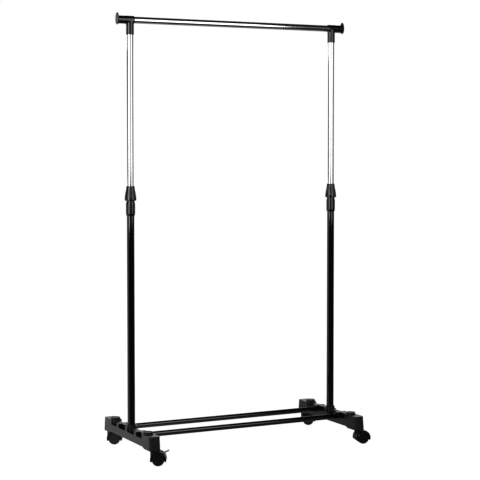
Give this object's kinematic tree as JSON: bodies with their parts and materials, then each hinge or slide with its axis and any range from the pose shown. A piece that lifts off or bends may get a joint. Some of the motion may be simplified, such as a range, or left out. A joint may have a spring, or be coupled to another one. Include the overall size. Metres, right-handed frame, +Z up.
{
  "type": "rolling garment rack",
  "caption": "Straight single-rail garment rack with telescopic chromed uprights, twist locks, moulded feet, tube base rails and twin-wheel casters.",
  "frame": {"origin": "on the floor under the middle of the rack, halfway between the uprights", "axes": "+X along the hanging rail to the right, -Y is the front, +Z up"},
  "size_m": [0.8538, 0.4332, 1.451],
  "materials": {
    "chrome": "polished chrome plate",
    "black_paint": "semi-gloss black powder coat",
    "foot_plastic": "satin dark grey-black moulded polypropylene",
    "lock_plastic": "satin black moulded nylon",
    "wheel_plastic": "satin black moulded nylon",
    "zinc_steel": "bright zinc plate",
    "brake_plastic": "satin grey moulded plastic",
    "nylon": "natural white nylon"
  },
  "bodies": {
    "base": {"left_foot": "foot_plastic", "left_front_rail_screw": "zinc_steel", "left_rear_rail_screw": "zinc_steel", "left_post_screw": "zinc_steel", "left_lower_post": "black_paint", "left_lock_sleeve": "lock_plastic", "left_lock_collet": "nylon", "right_foot": "foot_plastic", "right_front_rail_screw": "zinc_steel", "right_rear_rail_screw": "zinc_steel", "right_post_screw": "zinc_steel", "right_lower_post": "black_paint", "right_lock_sleeve": "lock_plastic", "right_lock_collet": "nylon", "front_base_rail": "black_paint", "rear_base_rail": "black_paint", "front_left_caster_socket": "nylon", "front_right_caster_socket": "nylon", "rear_left_caster_socket": "nylon", "rear_right_caster_socket": "nylon"},
    "upper_frame": {"hanging_rail": "chrome", "left_upper_post": "chrome", "left_guide_plug": "nylon", "left_tee": "lock_plastic", "left_end_cap": "lock_plastic", "left_tee_screw": "zinc_steel", "right_upper_post": "chrome", "right_guide_plug": "nylon", "right_tee": "lock_plastic", "right_end_cap": "lock_plastic", "right_tee_screw": "zinc_steel"},
    "left_nut": {"left_lock_nut": "lock_plastic"},
    "right_nut": {"right_lock_nut": "lock_plastic"},
    "front_left_swivel": {"front_left_caster_stem": "zinc_steel", "front_left_caster_hood": "wheel_plastic"},
    "front_left_wheels": {"front_left_caster_axle": "zinc_steel", "front_left_wheel_a": "wheel_plastic", "front_left_wheel_b": "wheel_plastic"},
    "front_left_brake": {"front_left_brake_lever": "brake_plastic"},
    "front_right_swivel": {"front_right_caster_stem": "zinc_steel", "front_right_caster_hood": "wheel_plastic"},
    "front_right_wheels": {"front_right_caster_axle": "zinc_steel", "front_right_wheel_a": "wheel_plastic", "front_right_wheel_b": "wheel_plastic"},
    "rear_left_swivel": {"rear_left_caster_stem": "zinc_steel", "rear_left_caster_hood": "wheel_plastic"},
    "rear_left_wheels": {"rear_left_caster_axle": "zinc_steel", "rear_left_wheel_a": "wheel_plastic", "rear_left_wheel_b": "wheel_plastic"},
    "rear_right_swivel": {"rear_right_caster_stem": "zinc_steel", "rear_right_caster_hood": "wheel_plastic"},
    "rear_right_wheels": {"rear_right_caster_axle": "zinc_steel", "rear_right_wheel_a": "wheel_plastic", "rear_right_wheel_b": "wheel_plastic"},
    "rear_right_brake": {"rear_right_brake_lever": "brake_plastic"}
  },
  "joints": [
    {"name": "height_slide", "type": "slide", "parent": "base", "child": "upper_frame", "axis": [0, 0, 1], "range_m": [-0.47, 0.19]},
    {"name": "left_nut_turn", "type": "hinge", "parent": "base", "child": "left_nut", "pos_m": [-0.38, 0, 0.862], "axis": [0, 0, 1], "range_deg": [0, 270]},
    {"name": "right_nut_turn", "type": "hinge", "parent": "base", "child": "right_nut", "pos_m": [0.38, 0, 0.862], "axis": [0, 0, 1], "range_deg": [0, 270]},
    {"name": "front_left_swivel_turn", "type": "hinge", "parent": "base", "child": "front_left_swivel", "pos_m": [-0.38, -0.187, 0.0457], "axis": [0, 0, 1], "continuous": true},
    {"name": "front_left_wheel_spin", "type": "hinge", "parent": "front_left_swivel", "child": "front_left_wheels", "pos_m": [-0.36708, -0.19358, 0.02], "axis": [0.454, 0.891, 0], "continuous": true},
    {"name": "front_left_brake_press", "type": "hinge", "parent": "front_left_swivel", "child": "front_left_brake", "pos_m": [-0.35413, -0.20018, 0.0386], "axis": [0.454, 0.891, 0], "range_deg": [0, 25]},
    {"name": "front_right_swivel_turn", "type": "hinge", "parent": "base", "child": "front_right_swivel", "pos_m": [0.38, -0.187, 0.0457], "axis": [0, 0, 1], "continuous": true},
    {"name": "front_right_wheel_spin", "type": "hinge", "parent": "front_right_swivel", "child": "front_right_wheels", "pos_m": [0.39413, -0.19026, 0.02], "axis": [0.225, 0.9744, 0], "continuous": true},
    {"name": "rear_left_swivel_turn", "type": "hinge", "parent": "base", "child": "rear_left_swivel", "pos_m": [-0.38, 0.187, 0.0457], "axis": [0, 0, 1], "continuous": true},
    {"name": "rear_left_wheel_spin", "type": "hinge", "parent": "rear_left_swivel", "child": "rear_left_wheels", "pos_m": [-0.36708, 0.18042, 0.02], "axis": [0.454, 0.891, 0], "continuous": true},
    {"name": "rear_right_swivel_turn", "type": "hinge", "parent": "base", "child": "rear_right_swivel", "pos_m": [0.38, 0.187, 0.0457], "axis": [0, 0, 1], "continuous": true},
    {"name": "rear_right_wheel_spin", "type": "hinge", "parent": "rear_right_swivel", "child": "rear_right_wheels", "pos_m": [0.39292, 0.18042, 0.02], "axis": [0.454, 0.891, 0], "continuous": true},
    {"name": "rear_right_brake_press", "type": "hinge", "parent": "rear_right_swivel", "child": "rear_right_brake", "pos_m": [0.40587, 0.17382, 0.0386], "axis": [0.454, 0.891, 0], "range_deg": [0, 25]}
  ]
}
